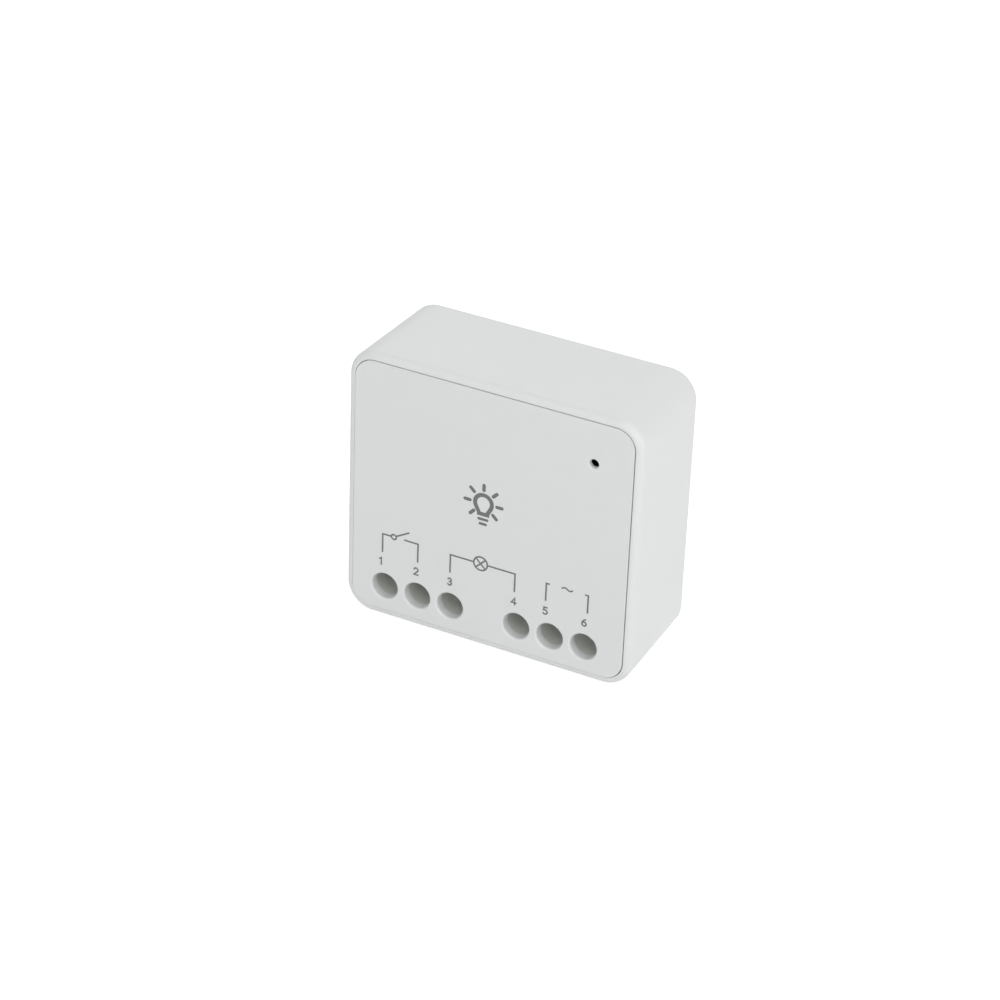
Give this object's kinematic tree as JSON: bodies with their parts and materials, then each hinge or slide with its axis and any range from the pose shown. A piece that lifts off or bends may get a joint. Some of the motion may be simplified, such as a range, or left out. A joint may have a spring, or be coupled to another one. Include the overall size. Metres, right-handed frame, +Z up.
{
  "type": "smart relay module",
  "caption": "Small white in-wall relay module with a row of screw terminals along its lower edge and a pinhole pairing button.",
  "frame": {"origin": "middle of the bottom face, where the module stands", "axes": "+Z up, +Y from the front cover to the back, +X to the right as the front is seen"},
  "size_m": [0.043, 0.0176, 0.04],
  "materials": {
    "housing_plastic": "fine matt white moulding",
    "terminal_plastic": "olive grey moulding",
    "tinned_copper": "bright tin plating",
    "circuit_board": "green solder mask",
    "solder": "bright solder",
    "relay_plastic": "black moulding",
    "bobbin_plastic": "natural nylon moulding",
    "winding_wire": "enamelled copper wire",
    "magnetic_steel": "nickel plated soft iron",
    "contact_copper": "copper alloy with silver buttons",
    "ferrite": "sintered ferrite",
    "winding_tape": "yellow polyester tape",
    "capacitor_sleeve": "dark shrink sleeve",
    "resistor_coating": "green lacquer",
    "varistor_coating": "blue epoxy",
    "shield_metal": "nickel silver sheet",
    "chip_resin": "black moulded resin",
    "antenna_ceramic": "white ceramic",
    "switch_plastic": "black moulding",
    "spring_steel": "stainless spring sheet",
    "chip_resistor_film": "black film on ceramic",
    "chip_ceramic": "tan ceramic",
    "plated_screw_steel": "zinc plated steel",
    "plated_cage_steel": "zinc plated steel"
  },
  "bodies": {
    "root": {"rear_housing": "housing_plastic", "front_cover": "housing_plastic", "terminal_block_left": "terminal_plastic", "terminal_block_right": "terminal_plastic", "terminal_contacts_left": "tinned_copper", "terminal_contacts_right": "tinned_copper", "main_board": "circuit_board", "radio_board": "circuit_board", "solder_joints": "solder", "relay_case": "relay_plastic", "relay_base": "relay_plastic", "relay_bobbin": "bobbin_plastic", "relay_winding": "winding_wire", "relay_core": "magnetic_steel", "relay_yoke": "magnetic_steel", "relay_fixed_contact": "contact_copper", "relay_pins": "tinned_copper", "transformer_core": "ferrite", "transformer_bobbin": "bobbin_plastic", "transformer_winding": "winding_tape", "bulk_capacitor": "capacitor_sleeve", "output_capacitor": "capacitor_sleeve", "filter_inductor": "ferrite", "inductor_winding": "winding_wire", "fuse_resistor": "resistor_coating", "varistor": "varistor_coating", "component_leads": "tinned_copper", "radio_shield": "shield_metal", "radio_chip": "chip_resin", "radio_antenna": "antenna_ceramic", "switch_base": "switch_plastic", "switch_frame": "shield_metal", "switch_dome": "spring_steel", "switch_legs": "tinned_copper", "bridge_rectifier": "chip_resin", "power_controller": "chip_resin", "small_transistors": "chip_resin", "diodes": "chip_resin", "chip_resistors": "chip_resistor_film", "chip_capacitors": "chip_ceramic", "chip_legs": "tinned_copper"},
    "screw_1": {"clamp_screw_1": "plated_screw_steel"},
    "cage_1": {"clamp_cage_1": "plated_cage_steel"},
    "screw_2": {"clamp_screw_2": "plated_screw_steel"},
    "cage_2": {"clamp_cage_2": "plated_cage_steel"},
    "screw_3": {"clamp_screw_3": "plated_screw_steel"},
    "cage_3": {"clamp_cage_3": "plated_cage_steel"},
    "screw_4": {"clamp_screw_4": "plated_screw_steel"},
    "cage_4": {"clamp_cage_4": "plated_cage_steel"},
    "screw_5": {"clamp_screw_5": "plated_screw_steel"},
    "cage_5": {"clamp_cage_5": "plated_cage_steel"},
    "screw_6": {"clamp_screw_6": "plated_screw_steel"},
    "cage_6": {"clamp_cage_6": "plated_cage_steel"},
    "pairing_plunger": {"switch_plunger": "switch_plastic"},
    "relay_armature": {"relay_armature": "magnetic_steel", "relay_moving_contact": "contact_copper"}
  },
  "joints": [
    {"name": "screw_1_turn", "type": "hinge", "parent": "root", "child": "screw_1", "pos_m": [-0.01547, -0.0036, 0.00478], "axis": [0, 1, 0], "range_deg": [0, 1520]},
    {"name": "cage_1_rise", "type": "slide", "parent": "root", "child": "cage_1", "axis": [0, -1, 0], "range_m": [0, 0.0019]},
    {"name": "screw_2_turn", "type": "hinge", "parent": "root", "child": "screw_2", "pos_m": [-0.01047, -0.0036, 0.00478], "axis": [0, 1, 0], "range_deg": [0, 1520]},
    {"name": "cage_2_rise", "type": "slide", "parent": "root", "child": "cage_2", "axis": [0, -1, 0], "range_m": [0, 0.0019]},
    {"name": "screw_3_turn", "type": "hinge", "parent": "root", "child": "screw_3", "pos_m": [-0.00547, -0.0036, 0.00478], "axis": [0, 1, 0], "range_deg": [0, 1520]},
    {"name": "cage_3_rise", "type": "slide", "parent": "root", "child": "cage_3", "axis": [0, -1, 0], "range_m": [0, 0.0019]},
    {"name": "screw_4_turn", "type": "hinge", "parent": "root", "child": "screw_4", "pos_m": [0.00453, -0.0036, 0.00478], "axis": [0, 1, 0], "range_deg": [0, 1520]},
    {"name": "cage_4_rise", "type": "slide", "parent": "root", "child": "cage_4", "axis": [0, -1, 0], "range_m": [0, 0.0019]},
    {"name": "screw_5_turn", "type": "hinge", "parent": "root", "child": "screw_5", "pos_m": [0.00953, -0.0036, 0.00478], "axis": [0, 1, 0], "range_deg": [0, 1520]},
    {"name": "cage_5_rise", "type": "slide", "parent": "root", "child": "cage_5", "axis": [0, -1, 0], "range_m": [0, 0.0019]},
    {"name": "screw_6_turn", "type": "hinge", "parent": "root", "child": "screw_6", "pos_m": [0.01453, -0.0036, 0.00478], "axis": [0, 1, 0], "range_deg": [0, 1520]},
    {"name": "cage_6_rise", "type": "slide", "parent": "root", "child": "cage_6", "axis": [0, -1, 0], "range_m": [0, 0.0019]},
    {"name": "pairing_button_press", "type": "slide", "parent": "root", "child": "pairing_plunger", "axis": [0, 1, 0], "range_m": [0, 0.00025], "stiffness_N_per_m": 8000},
    {"name": "relay_armature_pull", "type": "hinge", "parent": "root", "child": "relay_armature", "pos_m": [-0.00125, -0.0011, 0.0243], "axis": [0, 1, 0], "range_deg": [0, 2.5], "stiffness_Nm_per_rad": 0.05, "springref_deg": -1.72}
  ],
  "couplings": [
    {"joint": "screw_1_turn", "follows": "cage_1_rise", "rad_per_m": 13963},
    {"joint": "screw_2_turn", "follows": "cage_2_rise", "rad_per_m": 13963},
    {"joint": "screw_3_turn", "follows": "cage_3_rise", "rad_per_m": 13963},
    {"joint": "screw_4_turn", "follows": "cage_4_rise", "rad_per_m": 13963},
    {"joint": "screw_5_turn", "follows": "cage_5_rise", "rad_per_m": 13963},
    {"joint": "screw_6_turn", "follows": "cage_6_rise", "rad_per_m": 13963}
  ]
}
